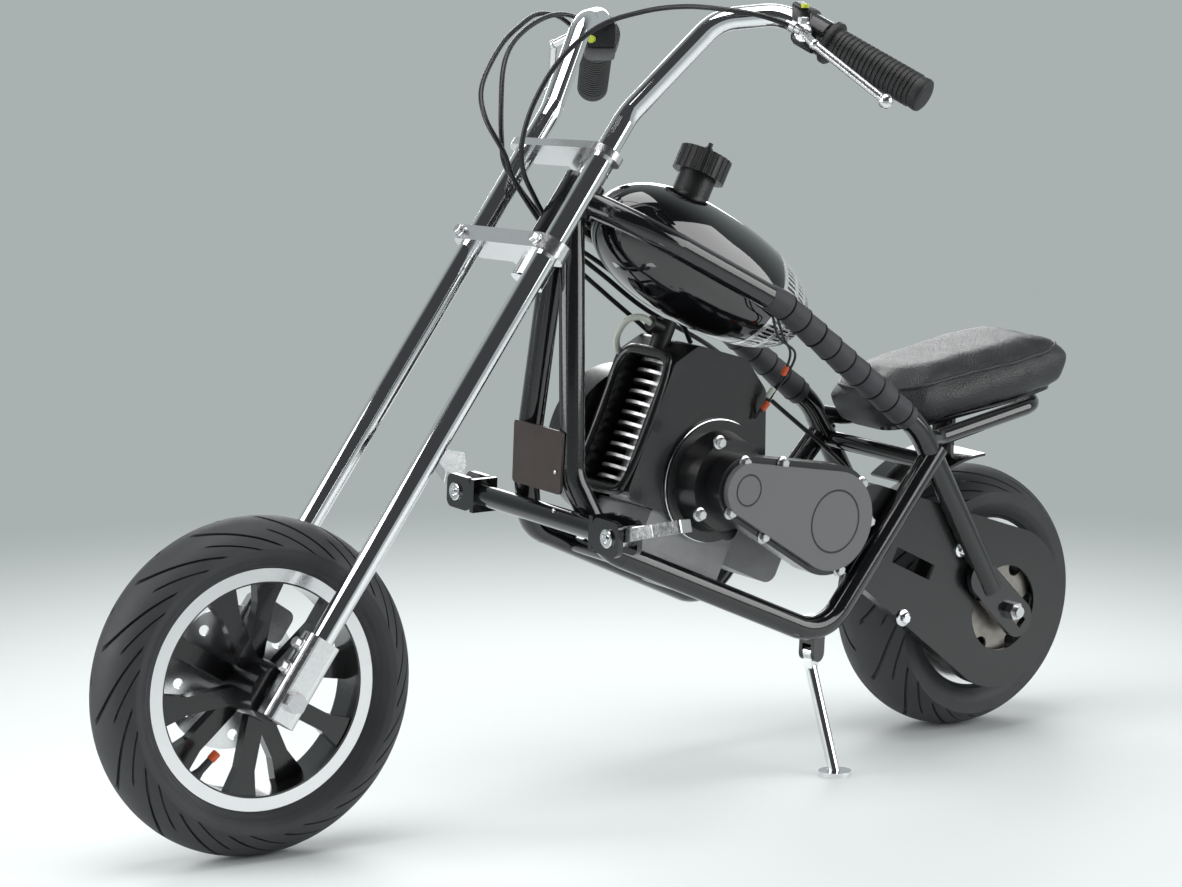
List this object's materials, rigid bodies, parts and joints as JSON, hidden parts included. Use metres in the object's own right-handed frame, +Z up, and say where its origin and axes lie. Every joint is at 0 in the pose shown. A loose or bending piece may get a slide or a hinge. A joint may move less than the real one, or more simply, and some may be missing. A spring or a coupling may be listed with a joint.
{
  "type": "mini motorcycle",
  "caption": "Mini chopper motorcycle parked leaning on its side stand, with raked fork, high bars, round tank, open small engine and low wide rear tyre.",
  "frame": {"origin": "on the ground under the middle of the parked machine's box", "axes": "+X forward, +Y to the rider's left, +Z up; the machine leans to +Y on its side stand"},
  "size_m": [1.199, 0.5898, 0.7832],
  "materials": {
    "frame_paint": "gloss black paint",
    "tank_paint": "deep gloss black lacquer",
    "tape": "matt black tape wound on the tubes",
    "brown_paint": "satin brown black paint",
    "chrome": "bright chrome plate",
    "polished_alloy": "polished aluminium",
    "cast_alloy": "cast aluminium",
    "fin_alloy": "cast aluminium fins",
    "engine_paint": "semi gloss black engine paint",
    "cover_paint": "satin dark grey paint",
    "wheel_paint": "gloss black paint with a machined lip",
    "steel": "zinc plated steel",
    "chain_steel": "oiled chain steel",
    "tyre": "dark bluish grey tread rubber",
    "grip_rubber": "ribbed black rubber",
    "vinyl": "black grained vinyl",
    "black_plastic": "moulded black plastic"
  },
  "bodies": {
    "frame": {"head_tube": "frame_paint", "main_tube_left": "frame_paint", "main_tube_right": "frame_paint", "tube_wraps": "tape", "lower_rail_left": "frame_paint", "lower_rail_right": "frame_paint", "seat_cross_tube": "frame_paint", "peg_crossbar": "frame_paint", "front_plate": "brown_paint", "engine_mounts": "engine_paint", "seat_rails": "frame_paint", "seat_pan": "black_plastic", "seat": "vinyl", "rear_fender": "brown_paint", "fuel_tank": "tank_paint", "tank_brackets": "frame_paint", "fuel_cap": "black_plastic", "crankcase": "engine_paint", "cylinder": "fin_alloy", "engine_shroud": "engine_paint", "spark_plug_cap": "black_plastic", "starter_housing": "black_plastic", "starter_handle": "black_plastic", "clutch_housing": "engine_paint", "gearbox": "engine_paint", "gearbox_cover": "cover_paint", "carburettor": "cast_alloy", "muffler": "engine_paint", "chain": "chain_steel", "chain_guard": "frame_paint", "dropouts": "frame_paint", "rear_axle": "chrome", "rear_caliper": "cast_alloy", "stand_bracket": "frame_paint", "cables_rear": "black_plastic"},
    "steering": {"steering_stem": "steel", "lower_clamp": "polished_alloy", "upper_clamp": "polished_alloy", "fork_leg_left": "chrome", "fork_leg_right": "chrome", "handlebar_left": "chrome", "handlebar_right": "chrome", "grips": "grip_rubber", "left_lever": "cast_alloy", "right_lever": "cast_alloy", "axle_clamps": "polished_alloy", "front_axle": "chrome", "front_caliper": "cast_alloy", "cables_front": "black_plastic"},
    "front_wheel": {"front_tyre": "tyre", "front_wheel": "wheel_paint", "front_disc": "steel"},
    "rear_wheel": {"rear_tyre": "tyre", "rear_wheel": "wheel_paint", "rear_sprocket": "steel", "rear_disc": "steel"},
    "stand": {"side_stand": "chrome"},
    "peg_left": {"foot_peg_left": "cast_alloy"},
    "peg_right": {"foot_peg_right": "cast_alloy"}
  },
  "joints": [
    {"name": "steering_turn", "type": "hinge", "parent": "frame", "child": "steering", "pos_m": [0.10272, -0.01979, 0.57962], "axis": [-0.5736, 0.0621, 0.8168], "range_deg": [-28.7, 41.3], "deforming": ["cables_front", "cables_rear"]},
    {"name": "front_spin", "type": "hinge", "parent": "steering", "child": "front_wheel", "pos_m": [0.44095, -0.05566, 0.15874], "axis": [0.0899, 0.9959, -0.0126], "continuous": true},
    {"name": "rear_spin", "type": "hinge", "parent": "frame", "child": "rear_wheel", "pos_m": [-0.45487, -0.05287, 0.1448], "axis": [0, 0.9971, -0.0758], "continuous": true},
    {"name": "stand_fold", "type": "hinge", "parent": "frame", "child": "stand", "pos_m": [-0.17891, 0.02181, 0.12458], "axis": [-0.2079, 0.9753, -0.0742], "range_deg": [0, 75]},
    {"name": "peg_left_fold", "type": "hinge", "parent": "frame", "child": "peg_left", "pos_m": [0.11831, 0.08185, 0.28102], "axis": [1, 0, 0], "range_deg": [0, 70]},
    {"name": "peg_right_fold", "type": "hinge", "parent": "frame", "child": "peg_right", "pos_m": [0.11831, -0.16543, 0.29983], "axis": [-1, 0, 0], "range_deg": [0, 70]}
  ]
}
